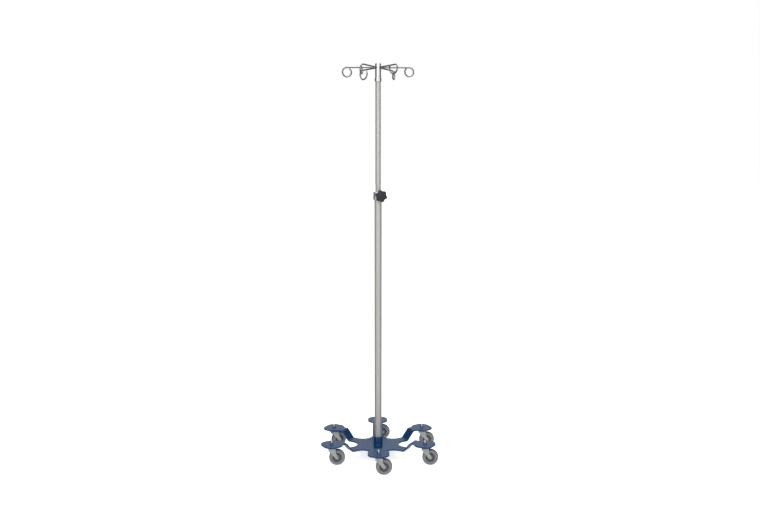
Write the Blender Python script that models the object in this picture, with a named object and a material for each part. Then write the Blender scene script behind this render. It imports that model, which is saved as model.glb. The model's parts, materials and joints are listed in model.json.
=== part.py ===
"""Mobile infusion stand: a six-leg low plate base on swivel castors, a two-stage mast with a clamp
collar, and six coiled hooks. Origin on the floor under the mast, +Z up, -Y towards the front leg."""

import math

import bpy
import bmesh
from mathutils import Matrix, Vector

MM = 0.001
GAP = 0.3 * MM  # clearance between pieces that touch
DRILL = 40 * MM  # length of every hole's cutter
TINY = 1e-9

# Base plate
LEG_ANGLES = {
    "front": -90,
    "front_right": -30,
    "back_right": 30,
    "back": 90,
    "back_left": 150,
    "front_left": 210,
}
PLATE_THICK = 6.4 * MM
PAD_TOP = 99 * MM
LOW_TOP = 56 * MM
STEM_RADIUS = 250 * MM
LOW_BEND_RADIUS = 151.5 * MM
HIGH_BEND_RADIUS = 185.5 * MM
BEND_INSIDE = 11 * MM
LEG_HALF = 25 * MM
NOTCH_TIP = 98 * MM
PAD_HALF_LONG = 44.5 * MM
PAD_HALF_WIDE = 49 * MM
PAD_CORNER = 36 * MM
NECK_FILLET = 14 * MM
STUD_RADIUS = 4 * MM
STUD_HOLE = 4.4 * MM
NUT_FLATS = 13.5 * MM
NUT_HEX_HEIGHT = 7.5 * MM
NUT_DOME_RADIUS = 6 * MM
NUT_DOME_BASE = 11 * MM
FOOT_BOLT_RADIUS = 6 * MM
FOOT_BOLT_HOLE = 6.5 * MM
FOOT_BOLT_FLATS = 19 * MM
FOOT_BOLT_HEAD = 7.5 * MM
FOOT_WASHER_RADIUS = 14 * MM
FOOT_WASHER_THICK = 2.5 * MM
FOOT_PLUG_LENGTH = 18 * MM

# Castors
WHEEL_RADIUS = 37.5 * MM
TRAIL = 25 * MM
CASTOR_YAW = {
    "front": 2,
    "front_right": -3,
    "back_right": 5,
    "back": -4,
    "back_left": 25,
    "front_left": 3,
}
RACE_RADIUS = 18 * MM
RACE_SKIRT = 3 * MM
KINGPIN_RADIUS = 8 * MM
FORK_TOP = 82 * MM
FORK_PLATE = 3 * MM
FORK_INSIDE = 14.3 * MM
FORK_OUTSIDE = 16.9 * MM
FORK_HEEL = 10 * MM
AXLE_RADIUS = 3.2 * MM
AXLE_HOLE = 3.6 * MM
AXLE_HEAD_RADIUS = 6 * MM
TYRE_HALF = 12 * MM
TYRE_SEAT = 22 * MM
TYRE_SHOULDER = 5 * MM
WHEEL_BOSS_RADIUS = 13 * MM
WHEEL_BOSS_HALF = 12.8 * MM
WHEEL_WEB_HALF = 6 * MM

# Mast
SOCKET_RADIUS = 21.5 * MM
SOCKET_TOP = 95.6 * MM
LOWER_RADIUS = 17 * MM
LOWER_BORE = 15.4 * MM
LOWER_TOP = 1235.5 * MM
LOWER_LIFT = 1.2 * MM  # the lower tube's foot ends this far above the socket's
UPPER_RADIUS = 12.5 * MM
UPPER_BORE = 11 * MM
UPPER_TOP = 1799.7 * MM
UPPER_LENGTH = 1150 * MM
COLLAR_RADIUS = 22.5 * MM
COLLAR_LOW = 1221.5 * MM
COLLAR_TOP = 1260 * MM
COLLAR_LIP = 4 * MM
COLLAR_BORE = 12.9 * MM
SCREW_HOLE = 4.3 * MM
SCREW_RADIUS = 3.9 * MM
SCREW_END = 42.6 * MM
PAD_LENGTH = 2.5 * MM
BUSH_LENGTH = 35 * MM
KNOB_HEIGHT = 1242 * MM
KNOB_AZIMUTH = 20
KNOB_LOBES = 6
KNOB_PEAK = 28.3 * MM
KNOB_VALLEY = 23 * MM
KNOB_TURN = -16
KNOB_BACK = 34 * MM
KNOB_FRONT = 50.3 * MM
KNOB_BORE = 4.2 * MM

# Hooks
HUB_RADIUS = 13.75 * MM
HUB_RIM = 15.5 * MM
HUB_LOW = 1759 * MM
HUB_STEP = 1777 * MM
HUB_TOP = 1840 * MM
HOOK_HEIGHT = 1822 * MM
HOOK_START = 8.5 * MM
HOOK_LOOP_CENTRE = 141 * MM
HOOK_LOOP_RADIUS = 20.3 * MM
HOOK_ROD = 3.4 * MM
HOOK_SWEEP = 325
HOOK_SIDE_STEP = 20 * MM
HOOK_COUNT = 6
HOOK_TURN = 2
GRUB_HOLE = 2.8 * MM
GRUB_RADIUS = 2.5 * MM


def clear_scene():
    for obj in list(bpy.data.objects):
        bpy.data.objects.remove(obj, do_unlink=True)


def material(name, colour, roughness, metallic=0.0):
    """A Principled material, made once for each name."""
    found = bpy.data.materials.get(name)
    if found:
        return found
    made = bpy.data.materials.new(name)
    made.use_nodes = True
    shader = made.node_tree.nodes["Principled BSDF"]
    shader.inputs["Base Color"].default_value = (*colour, 1.0)
    shader.inputs["Roughness"].default_value = roughness
    shader.inputs["Metallic"].default_value = metallic
    return made


def blue_paint():
    return material("blue_paint", (0.012, 0.075, 0.17), 0.3)


def tube_steel():
    return material("tube_steel", (0.62, 0.61, 0.58), 0.28, 1.0)


def chrome():
    return material("chrome", (0.82, 0.82, 0.8), 0.08, 1.0)


def zinc():
    return material("zinc", (0.62, 0.64, 0.6), 0.38, 1.0)


def tyre_rubber():
    return material("tyre_rubber", (0.24, 0.23, 0.25), 0.7)


def wheel_plastic():
    return material("wheel_plastic", (0.17, 0.18, 0.17), 0.5)


def knob_plastic():
    return material("knob_plastic", (0.025, 0.024, 0.028), 0.45)


def nylon():
    return material("nylon", (0.75, 0.74, 0.7), 0.5)


def new_object(name, bm, look, parent=None, matrix=None):
    """Turns a bmesh into a named object with outward normals, smooth shading and one material."""
    bmesh.ops.recalc_face_normals(bm, faces=bm.faces)
    mesh = bpy.data.meshes.new(name)
    bm.to_mesh(mesh)
    bm.free()
    mesh.shade_smooth()
    mesh.set_sharp_from_angle(angle=math.radians(35))
    return place_mesh(name, mesh, look, parent, matrix)


def place_mesh(name, mesh, look, parent=None, matrix=None):
    """Puts a mesh in the scene; its matrix is relative to its parent."""
    obj = bpy.data.objects.new(name, mesh)
    bpy.context.scene.collection.objects.link(obj)
    if not mesh.materials:
        mesh.materials.append(look)
    obj.parent = parent
    obj.matrix_local = matrix or Matrix.Identity(4)
    return obj


def pivot(name, matrix, parent=None):
    """An empty on a joint's axis."""
    empty = bpy.data.objects.new(name, None)
    bpy.context.scene.collection.objects.link(empty)
    empty.empty_display_size = 0.03
    empty.parent = parent
    empty.matrix_local = matrix
    return empty


def arc(centre, radius, start, end, steps):
    """Points on a circle from one angle to another, in degrees, both ends included."""
    points = []
    for i in range(steps + 1):
        turn = math.radians(start + (end - start) * i / steps)
        points.append((centre[0] + radius * math.cos(turn), centre[1] + radius * math.sin(turn)))
    return points


def bridge(bm, first, second):
    """Quads, or triangles where a ring is a single point, between two rings of vertices."""
    count = max(len(first), len(second))
    for i in range(count):
        j = (i + 1) % count
        corners = [first[i % len(first)], first[j % len(first)]]
        corners += [second[j % len(second)], second[i % len(second)]]
        corners = list(dict.fromkeys(corners))
        bm.faces.new(corners)


def loft(rings, closed=False):
    """A skin through rings of points; a closed loft joins its last ring to its first."""
    bm = bmesh.new()
    made = [[bm.verts.new(point) for point in ring] for ring in rings]
    for first, second in zip(made, made[1:]):
        bridge(bm, first, second)
    if closed:
        bridge(bm, made[-1], made[0])
    else:
        for end in (made[0], made[-1]):
            if len(end) > 2:
                bm.faces.new(end)
    return bm


def circle(radius, height, segments):
    if radius < TINY:
        return [(0.0, 0.0, height)]
    return [(x, y, height) for x, y in arc((0, 0), radius, 0, 360, segments)[:-1]]


def turned(profile, closed=False, segments=24):
    """A solid of revolution about Z from a profile of (radius, height)."""
    return loft([circle(r, z, segments) for r, z in profile], closed)


def ring_profile(inner, outer, low, high, chamfer=0.5 * MM):
    """A rectangular section with its outer corners chamfered."""
    return [
        (inner, low),
        (outer - chamfer, low),
        (outer, low + chamfer),
        (outer, high - chamfer),
        (outer - chamfer, high),
        (inner, high),
    ]


def hexagon(across_flats, height, segments=24):
    """A hexagonal ring with as many points as the circles it is lofted to."""
    points = []
    for i in range(segments):
        turn = 2 * math.pi * i / segments
        to_flat = (turn % (math.pi / 3)) - math.pi / 6
        reach = across_flats / 2 / math.cos(to_flat)
        points.append((reach * math.cos(turn), reach * math.sin(turn), height))
    return points


def drill(name, radius, matrix):
    """A hidden cylinder along its own Z, centred on the matrix's origin."""
    body = turned([(radius, -DRILL / 2), (radius, DRILL / 2)], segments=16)
    return hide_cutter(new_object(name, body, zinc(), matrix=matrix))


def hide_cutter(cutter):
    cutter.hide_render = True
    cutter.display_type = "WIRE"
    return cutter


def cut(obj, cutter):
    """Leaves a live Boolean difference on the object."""
    modifier = obj.modifiers.new("cut_" + cutter.name, "BOOLEAN")
    modifier.operation = "DIFFERENCE"
    modifier.solver = "EXACT"
    modifier.object = cutter


def baked(obj):
    """The object's mesh with its modifiers applied, for copies that share it."""
    bpy.context.view_layer.update()
    graph = bpy.context.evaluated_depsgraph_get()
    mesh = bpy.data.meshes.new_from_object(obj.evaluated_get(graph))
    mesh.shade_smooth()
    mesh.set_sharp_from_angle(angle=math.radians(35))
    bpy.data.objects.remove(obj, do_unlink=True)
    return mesh


def leg_matrix(angle, radius=0.0, height=0.0, yaw=0.0):
    """Places a piece out along a leg, turned by yaw about its own Z."""
    out = Vector((math.cos(math.radians(angle)), math.sin(math.radians(angle)), 0)) * radius
    return Matrix.Translation(out + Vector((0, 0, height))) @ Matrix.Rotation(math.radians(yaw), 4, "Z")


# Base plate ---------------------------------------------------------------------------------


def leg_outline():
    """Half-width of a leg at each radius, from the tip of the notch to the end of the pad."""
    # The notch circle touches both legs' sides, and its nearest point is NOTCH_TIP from the mast.
    reach = (NOTCH_TIP - LEG_HALF) * 2
    notch_radius = reach - NOTCH_TIP
    notch = (reach * math.cos(math.radians(30)), reach * math.sin(math.radians(30)))
    outline = arc(notch, notch_radius, 210, 270, 6)
    corner = (STEM_RADIUS - PAD_HALF_LONG + PAD_CORNER, PAD_HALF_WIDE - PAD_CORNER)
    rise = LEG_HALF + NECK_FILLET - corner[1]
    run = math.sqrt((PAD_CORNER + NECK_FILLET) ** 2 - rise**2)
    neck = (corner[0] - run, LEG_HALF + NECK_FILLET)
    meet = math.degrees(math.atan2(-rise, run))
    fillet = arc(neck, NECK_FILLET, -90, meet, 4)
    inner = arc(corner, PAD_CORNER, meet + 180, 90, 5)[1:]
    outer_corner = (STEM_RADIUS + PAD_HALF_LONG - PAD_CORNER, corner[1])
    outer = arc(outer_corner, PAD_CORNER, 90, 0, 6)
    return outline, fillet + inner + outer


def bent_rows():
    """Rows across a leg: (radius, height, slope, half-width) of its mid-plane."""
    flat, pad = leg_outline()
    low, high = LOW_TOP - PLATE_THICK / 2, PAD_TOP - PLATE_THICK / 2
    slope = math.atan2(high - low, HIGH_BEND_RADIUS - LOW_BEND_RADIUS)
    setback = BEND_INSIDE * math.tan(slope / 2)
    rows = [(u, low, 0.0, w) for u, w in flat]
    steps = 4
    for i in range(steps + 1):
        turn = slope * i / steps
        u = LOW_BEND_RADIUS - setback + BEND_INSIDE * math.sin(turn)
        rows.append((u, low + BEND_INSIDE * (1 - math.cos(turn)), turn, LEG_HALF))
    for i in range(steps, -1, -1):
        turn = slope * i / steps
        u = HIGH_BEND_RADIUS + setback - BEND_INSIDE * math.sin(turn)
        rows.append((u, high - BEND_INSIDE * (1 - math.cos(turn)), turn, LEG_HALF))
    rows += [(u, high, 0.0, w) for u, w in pad]
    return rows


def add_leg(bm, rows, angle):
    """One sixth of the plate, from the mast's axis to the end of its pad."""
    turn = Matrix.Rotation(math.radians(angle), 4, "Z")
    half = PLATE_THICK / 2
    low = LOW_TOP - half
    sections = []
    for u, z, slope, w in rows:
        lift = Vector((-math.sin(slope) * half, 0, math.cos(slope) * half))
        middle = Vector((u, 0, z))
        side = Vector((0, w, 0))
        corners = [middle + lift - side, middle + lift + side, middle - lift + side, middle - lift - side]
        sections.append([bm.verts.new(turn @ corner) for corner in corners])
    top = bm.verts.new((0, 0, low + half))
    bottom = bm.verts.new((0, 0, low - half))
    first, last = sections[0], sections[-1]
    bm.faces.new((top, first[0], first[1]))
    bm.faces.new((bottom, first[2], first[3]))
    for near, far in zip(sections, sections[1:]):
        bridge(bm, near, far)
    bm.faces.new(last)


def base_plate():
    bm = bmesh.new()
    rows = bent_rows()
    for angle in LEG_ANGLES.values():
        add_leg(bm, rows, angle)
    bmesh.ops.remove_doubles(bm, verts=bm.verts, dist=0.01 * MM)
    plate = new_object("base_plate", bm, blue_paint())
    cut(plate, drill("cutter_foot", FOOT_BOLT_HOLE, Matrix.Translation((0, 0, LOW_TOP))))
    for name, angle in LEG_ANGLES.items():
        cut(plate, drill("cutter_" + name, STUD_HOLE, leg_matrix(angle, STEM_RADIUS, PAD_TOP)))


# Castors ------------------------------------------------------------------------------------


def cap_nut():
    """A domed nut on the pad with a blind bore for the stud."""
    low = PAD_TOP + GAP
    count = 12
    bore = STUD_RADIUS + GAP
    dome = arc((0, low + NUT_DOME_BASE), NUT_DOME_RADIUS, 90, 0, 3)
    rings = [circle(radius, height, count) for radius, height in dome]
    rings += [
        circle(NUT_DOME_RADIUS + 0.2 * MM, low + NUT_HEX_HEIGHT + 1 * MM, count),
        hexagon(NUT_FLATS, low + NUT_HEX_HEIGHT, count),
        hexagon(NUT_FLATS, low, count),
        circle(bore, low, count),
        circle(bore, low + NUT_DOME_BASE + 1.5 * MM, count),
        circle(0, low + NUT_DOME_BASE + 2 * MM, count),
    ]
    return loft(rings)


def swivel_stem():
    """Ball-race cup, threaded stud above it and kingpin head below the fork."""
    race = FORK_TOP + 0.4 * MM
    seat = PAD_TOP - PLATE_THICK - GAP
    inside = FORK_TOP - FORK_PLATE - GAP
    stud_end = PAD_TOP + 12 * MM
    profile = [
        (0, inside - 3.2 * MM),
        (KINGPIN_RADIUS, inside - 2.7 * MM),
        (KINGPIN_RADIUS, inside),
        (STUD_RADIUS, inside),
        (STUD_RADIUS, race),
        (RACE_RADIUS, race),
        (RACE_RADIUS, race + RACE_SKIRT),
        (RACE_RADIUS - 3.5 * MM, seat),
        (STUD_RADIUS, seat),
        (STUD_RADIUS, stud_end),
        (0, stud_end),
    ]
    return turned(profile, segments=14)


def fork_outline():
    """Side view of a fork leg: a wide shoulder under the pad, tapering back and down to the axle."""
    end = (TRAIL, WHEEL_RADIUS)
    shoulder_left = (-16 * MM, 73 * MM)
    shoulder_right = (19 * MM, 60 * MM)
    heel = arc(end, FORK_HEEL, 213, 396, 6)
    top_left = arc((-13 * MM, FORK_TOP - 3 * MM), 3 * MM, 90, 180, 2)
    top_right = arc((16 * MM, FORK_TOP - 3 * MM), 3 * MM, 0, 90, 2)
    return top_left + [shoulder_left] + heel + [shoulder_right] + top_right


def fork_mesh():
    """A bent-plate fork: the side view run across its width, with the wheel slot and holes cut."""
    outline = fork_outline()
    bm = loft([[(x, y, z) for x, z in outline] for y in (-FORK_OUTSIDE, FORK_OUTSIDE)])
    fork = new_object("fork_blank", bm, zinc())
    slot_top = FORK_TOP - FORK_PLATE
    slot_size = 200 * MM
    slot = bmesh.new()
    bmesh.ops.create_cube(slot, size=1.0)
    bmesh.ops.scale(slot, vec=(slot_size, 2 * FORK_INSIDE, slot_size), verts=slot.verts)
    bmesh.ops.translate(slot, vec=(0, 0, slot_top - slot_size / 2), verts=slot.verts)
    across = Matrix.Translation((TRAIL, 0, WHEEL_RADIUS)) @ Matrix.Rotation(math.pi / 2, 4, "X")
    cutters = [
        hide_cutter(new_object("fork_slot", slot, zinc())),
        drill("fork_axle_hole", AXLE_HOLE, across),
        drill("fork_king_hole", STUD_HOLE, Matrix.Translation((0, 0, FORK_TOP))),
    ]
    for cutter in cutters:
        cut(fork, cutter)
    mesh = baked(fork)
    for cutter in cutters:
        bpy.data.objects.remove(cutter, do_unlink=True)
    return mesh


def axle():
    """A riveted axle through both fork legs."""
    head = FORK_OUTSIDE + GAP
    half = [
        (0, head + 2.6 * MM),
        (AXLE_HEAD_RADIUS - 1 * MM, head + 2 * MM),
        (AXLE_HEAD_RADIUS, head),
    ]
    profile = half + [(AXLE_RADIUS, head), (AXLE_RADIUS, -head)]
    profile += [(r, -z) for r, z in reversed(half)]
    return turned(profile, segments=12)


def wheel_core():
    """Moulded wheel centre: a hub boss, a recessed web and the seat for the tyre."""
    seat = TYRE_SEAT - GAP
    side = [
        (AXLE_HOLE, -WHEEL_BOSS_HALF),
        (WHEEL_BOSS_RADIUS, -WHEEL_BOSS_HALF),
        (WHEEL_BOSS_RADIUS + 1.2 * MM, -WHEEL_WEB_HALF),
        (seat - 2.2 * MM, -WHEEL_WEB_HALF),
        (seat, -WHEEL_WEB_HALF - 3.5 * MM),
    ]
    return turned(side + [(r, -z) for r, z in reversed(side)], closed=True, segments=20)


def tyre():
    """Rubber tyre with rounded shoulders and a slightly crowned tread."""
    corner = (WHEEL_RADIUS - TYRE_SHOULDER - 0.5 * MM, -TYRE_HALF + TYRE_SHOULDER)
    side = [(TYRE_SEAT, -TYRE_HALF), *arc(corner, TYRE_SHOULDER, -90, 0, 2)]
    profile = side + [(WHEEL_RADIUS, 0)] + [(r, -z) for r, z in reversed(side)]
    return turned(profile, closed=True, segments=28)


def castors():
    """Six identical castors; every moving piece hangs from an empty on its joint's axis."""
    fork = fork_mesh()
    along_y = Matrix.Rotation(math.pi / 2, 4, "X")
    for name, angle in LEG_ANGLES.items():
        fixed = leg_matrix(angle, STEM_RADIUS)
        new_object("cap_nut_" + name, cap_nut(), chrome(), matrix=fixed)
        new_object("swivel_stem_" + name, swivel_stem(), zinc(), matrix=fixed)
        swivel = pivot("swivel_axis_" + name, leg_matrix(angle, STEM_RADIUS, yaw=CASTOR_YAW[name]))
        place_mesh("fork_" + name, fork, zinc(), swivel)
        spin = pivot("wheel_axis_" + name, Matrix.Translation((TRAIL, 0, WHEEL_RADIUS)) @ along_y, swivel)
        new_object("axle_" + name, axle(), zinc(), spin)
        new_object("wheel_core_" + name, wheel_core(), wheel_plastic(), spin)
        new_object("tyre_" + name, tyre(), tyre_rubber(), spin)


# Mast ---------------------------------------------------------------------------------------


def lower_mast():
    """Blue socket standing on the plate, and the fixed tube in it."""
    seat = LOW_TOP + GAP
    socket = ring_profile(LOWER_RADIUS + GAP, SOCKET_RADIUS, seat, SOCKET_TOP, 1.2 * MM)
    new_object("pole_socket", turned(socket, True, 28), blue_paint())
    tube = ring_profile(LOWER_BORE, LOWER_RADIUS, seat + LOWER_LIFT, LOWER_TOP)
    new_object("lower_tube", turned(tube, True, 28), tube_steel())


def foot_fixing():
    """The plug welded in the tube's foot, with the washer and bolt that hold it to the plate."""
    bore = FOOT_BOLT_RADIUS + GAP
    seat = LOW_TOP + GAP
    plug = ring_profile(bore, LOWER_BORE - GAP, seat, seat + FOOT_PLUG_LENGTH)
    new_object("tube_plug", turned(plug, True), zinc())
    under = LOW_TOP - PLATE_THICK - GAP
    washer_low = under - FOOT_WASHER_THICK
    washer = ring_profile(bore, FOOT_WASHER_RADIUS, washer_low, under)
    new_object("foot_washer", turned(washer, True), zinc())
    head = washer_low - GAP
    end = seat + FOOT_PLUG_LENGTH - 3 * MM
    bolt = [
        circle(0, head - FOOT_BOLT_HEAD, 24),
        circle(FOOT_BOLT_FLATS / 2 - 1 * MM, head - FOOT_BOLT_HEAD, 24),
        hexagon(FOOT_BOLT_FLATS, head - FOOT_BOLT_HEAD + 0.7 * MM),
        hexagon(FOOT_BOLT_FLATS, head),
        circle(FOOT_BOLT_RADIUS, head, 24),
        circle(FOOT_BOLT_RADIUS, end, 24),
        circle(0, end, 24),
    ]
    new_object("foot_bolt", loft(bolt), zinc())


def knob_matrix(reach=0.0):
    """Frame of the clamp screw: local Z points out of the collar, local Y up."""
    turn = math.radians(KNOB_AZIMUTH)
    out = Vector((math.sin(turn), -math.cos(turn), 0))
    up = Vector((0, 0, 1))
    frame = Matrix((up.cross(out), up, out)).transposed().to_4x4()
    return Matrix.Translation(out * reach + up * KNOB_HEIGHT) @ frame


def clamp_collar():
    """Chrome collar on the lower tube, its nylon liner, and the radial hole for the clamp screw."""
    step = LOWER_TOP + GAP
    lip = COLLAR_TOP - COLLAR_LIP
    rounding = 1.2 * MM
    body = [
        (LOWER_RADIUS + GAP, COLLAR_LOW),
        (COLLAR_RADIUS - 3 * MM, COLLAR_LOW),
        (COLLAR_RADIUS, COLLAR_LOW + 4 * MM),
        (COLLAR_RADIUS, COLLAR_TOP - rounding),
        (COLLAR_RADIUS - rounding, COLLAR_TOP),
        (COLLAR_BORE, COLLAR_TOP),
        (COLLAR_BORE, lip),
        (LOWER_BORE, lip),
        (LOWER_BORE, step),
        (LOWER_RADIUS + GAP, step),
    ]
    collar = new_object("tube_collar", turned(body, True, 28), chrome())
    sleeve = ring_profile(COLLAR_BORE, LOWER_BORE - GAP, step + GAP, lip - GAP)
    liner = new_object("collar_liner", turned(sleeve, True, 24), nylon())
    hole = drill("cutter_clamp", SCREW_HOLE, knob_matrix(DRILL / 2))
    cut(collar, hole)
    cut(liner, hole)


def knob_ring(scale, reach):
    """A lobed ring at one distance from the mast's axis."""
    mean, wave = (KNOB_PEAK + KNOB_VALLEY) / 2, (KNOB_PEAK - KNOB_VALLEY) / 2
    points = []
    count = KNOB_LOBES * 6
    for i in range(count):
        turn = 2 * math.pi * i / count
        lobes = math.cos(KNOB_LOBES * (turn - math.radians(KNOB_TURN)))
        radius = (mean + wave * lobes) * scale
        points.append((radius * math.cos(turn), radius * math.sin(turn), reach))
    return points


def knob():
    """Six-lobed knob with a boss behind it and a blind bore for its stud."""
    count = KNOB_LOBES * 6
    boss_end = COLLAR_RADIUS + 2 * MM
    bore_end = SCREW_END + 0.4 * MM
    rings = [
        circle(0, bore_end, count),
        circle(KNOB_BORE, bore_end, count),
        circle(KNOB_BORE, boss_end, count),
        circle(8 * MM, boss_end, count),
        circle(10 * MM, KNOB_BACK, count),
        knob_ring(0.9, KNOB_BACK),
        knob_ring(1.0, KNOB_BACK + 2 * MM),
        knob_ring(1.0, KNOB_FRONT - 5.3 * MM),
        knob_ring(0.93, KNOB_FRONT - 2.8 * MM),
        knob_ring(0.7, KNOB_FRONT - 1.3 * MM),
        circle(8 * MM, KNOB_FRONT - 0.3 * MM, count),
        circle(0, KNOB_FRONT, count),
    ]
    return loft(rings)


def clamp_screw():
    """Clamp pad, and the knob with its stud, on empties along the screw's axis."""
    travel = pivot("clamp_travel_axis", knob_matrix())
    inner = UPPER_RADIUS + GAP
    outer = inner + PAD_LENGTH
    edge = SCREW_RADIUS - 0.5 * MM
    pad = [(0, inner), (edge, inner), (SCREW_RADIUS, inner + 0.5 * MM), (SCREW_RADIUS, outer), (0, outer)]
    new_object("clamp_pad", turned(pad, segments=20), nylon(), travel)
    turn = pivot("knob_turn_axis", Matrix.Identity(4), travel)
    tip = outer + GAP
    stud = [(0, tip), (3 * MM, tip), (SCREW_RADIUS, tip + 0.9 * MM)]
    stud += [(SCREW_RADIUS, SCREW_END), (0, SCREW_END)]
    new_object("knob_stud", turned(stud, segments=20), zinc(), turn)
    new_object("knob", knob(), knob_plastic(), turn)


def hook_route(angle):
    """A straight arm, then a coil that drops outside, comes back up inside and steps to one side."""
    turn = Matrix.Rotation(math.radians(angle), 4, "Z")
    points = [Vector((HOOK_START, 0, HOOK_HEIGHT))]
    points.append(Vector((HOOK_LOOP_CENTRE / 2, 0, HOOK_HEIGHT)))
    steps = 18
    for i in range(steps + 1):
        part = i / steps
        swing = math.radians(90 - HOOK_SWEEP * part)
        out = HOOK_LOOP_CENTRE + HOOK_LOOP_RADIUS * math.cos(swing)
        up = HOOK_HEIGHT - HOOK_LOOP_RADIUS + HOOK_LOOP_RADIUS * math.sin(swing)
        aside = -HOOK_SIDE_STEP * part**1.4
        points.append(Vector((out, aside, up)))
    return [turn @ point for point in points]


def hook(name, angle, parent):
    """One hook: a round rod along its route, with filled ends."""
    curve = bpy.data.curves.new(name, "CURVE")
    curve.dimensions = "3D"
    curve.bevel_depth = HOOK_ROD
    curve.bevel_resolution = 2
    curve.use_fill_caps = True
    spline = curve.splines.new("POLY")
    route = hook_route(angle)
    spline.points.add(len(route) - 1)
    for point, place in zip(spline.points, route):
        point.co = (*place, 1.0)
    curve.materials.append(chrome())
    obj = bpy.data.objects.new(name, curve)
    bpy.context.scene.collection.objects.link(obj)
    obj.parent = parent


def upper_mast():
    """Guide bush, and the sliding tube that carries the hub and its hooks."""
    slide = pivot("mast_slide_axis", Matrix.Identity(4))
    foot = UPPER_TOP - UPPER_LENGTH
    low = foot + 5 * MM
    bush = ring_profile(UPPER_RADIUS + GAP, LOWER_BORE - GAP, low, low + BUSH_LENGTH, 1 * MM)
    new_object("guide_bush", turned(bush, True, 24), nylon(), slide)
    turn = pivot("mast_turn_axis", Matrix.Identity(4), slide)
    tube = ring_profile(UPPER_BORE, UPPER_RADIUS, foot, UPPER_TOP, 0.4 * MM)
    new_object("upper_tube", turned(tube, True, 24), tube_steel(), turn)
    hub_and_hooks(turn)


def hub():
    """Solid-topped hub: a plain cylinder above a wider rim, with a bore for the tube's end."""
    bore = UPPER_RADIUS + GAP
    edge = 1.5 * MM
    body = [
        (0, HUB_TOP),
        (HUB_RADIUS - edge, HUB_TOP),
        (HUB_RADIUS, HUB_TOP - edge),
        (HUB_RADIUS, HUB_STEP),
        (HUB_RIM, HUB_STEP - (HUB_RIM - HUB_RADIUS)),
        (HUB_RIM, HUB_LOW + 1 * MM),
        (HUB_RIM - 1 * MM, HUB_LOW),
        (bore, HUB_LOW),
        (bore, UPPER_TOP + GAP),
        (0, UPPER_TOP + GAP),
    ]
    return turned(body, segments=28)


def hub_and_hooks(parent):
    """The hub with six rods in its side, pinned on the tube by a grub screw."""
    crown = new_object("hook_hub", hub(), chrome(), parent)
    across = Matrix.Rotation(math.pi / 2, 4, "Y")
    reach = HOOK_START - GAP + DRILL / 2
    for number in range(1, HOOK_COUNT + 1):
        angle = HOOK_TURN + (number - 1) * 360 / HOOK_COUNT
        hole = leg_matrix(angle, reach, HOOK_HEIGHT, angle) @ across
        cut(crown, drill(f"cutter_rod_{number}", HOOK_ROD + GAP, hole))
        hook(f"hook_{number}", angle, parent)
    out = Matrix.Rotation(-math.pi / 2, 4, "X")
    back = Matrix.Translation((0, UPPER_RADIUS, HUB_LOW + 9 * MM)) @ out
    cut(crown, drill("cutter_grub", GRUB_HOLE, back))
    tip, end = 0.4 * MM, 2.9 * MM
    grub = [(0, tip), (1.6 * MM, tip), (GRUB_RADIUS, 1 * MM), (GRUB_RADIUS, end), (0, end)]
    new_object("hub_grub_screw", turned(grub, segments=16), zinc(), parent, back)


def main():
    clear_scene()
    base_plate()
    castors()
    lower_mast()
    foot_fixing()
    clamp_collar()
    clamp_screw()
    upper_mast()


main()
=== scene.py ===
import json
import math

import bmesh
import bpy
from mathutils import Matrix, Vector


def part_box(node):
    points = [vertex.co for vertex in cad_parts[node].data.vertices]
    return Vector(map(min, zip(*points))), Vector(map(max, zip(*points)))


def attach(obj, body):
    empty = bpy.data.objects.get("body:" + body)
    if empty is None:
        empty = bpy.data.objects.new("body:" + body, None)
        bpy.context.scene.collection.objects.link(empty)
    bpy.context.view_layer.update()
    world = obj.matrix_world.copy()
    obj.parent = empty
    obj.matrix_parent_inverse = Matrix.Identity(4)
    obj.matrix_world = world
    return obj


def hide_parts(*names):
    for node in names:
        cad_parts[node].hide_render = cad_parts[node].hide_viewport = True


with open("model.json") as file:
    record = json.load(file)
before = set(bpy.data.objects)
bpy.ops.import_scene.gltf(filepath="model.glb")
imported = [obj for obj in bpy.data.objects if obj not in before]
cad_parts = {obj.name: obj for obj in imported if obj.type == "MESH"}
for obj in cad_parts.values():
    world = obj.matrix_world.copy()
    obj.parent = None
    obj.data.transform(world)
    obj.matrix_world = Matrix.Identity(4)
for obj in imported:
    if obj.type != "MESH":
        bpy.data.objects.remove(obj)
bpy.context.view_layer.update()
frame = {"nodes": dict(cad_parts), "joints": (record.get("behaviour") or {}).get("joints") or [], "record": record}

MM = 0.001
SIDES, MANY_SIDES, FEW_SIDES = 96, 128, 48
TINY = 1e-7

PLACES = ("front", "front_right", "back_right", "back", "back_left", "front_left")
JOINTS = {joint["name"]: joint for joint in frame["joints"]}
BODY_OF = {
    node: body
    for body, nodes in frame["record"]["behaviour"]["bodies"].items()
    for node in nodes
}
SLOT_OF = {part["node"]: part["material_slot"] for part in frame["record"]["subparts"]}


# Mesh helpers -------------------------------------------------------------------------------


def stand_in(name, bm, look, node, matrix=None, sharp=38):
    """A finished piece that takes a CAD node's place and rides on its body."""
    bmesh.ops.recalc_face_normals(bm, faces=bm.faces)
    mesh = bpy.data.meshes.new(name)
    bm.to_mesh(mesh)
    bm.free()
    if matrix is not None:
        mesh.transform(matrix)
    mesh.shade_smooth()
    mesh.set_sharp_from_angle(angle=math.radians(sharp))
    mesh.materials.append(look)
    obj = bpy.data.objects.new(name, mesh)
    bpy.context.scene.collection.objects.link(obj)
    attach(obj, BODY_OF[node])
    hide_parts(node)
    return obj


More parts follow.
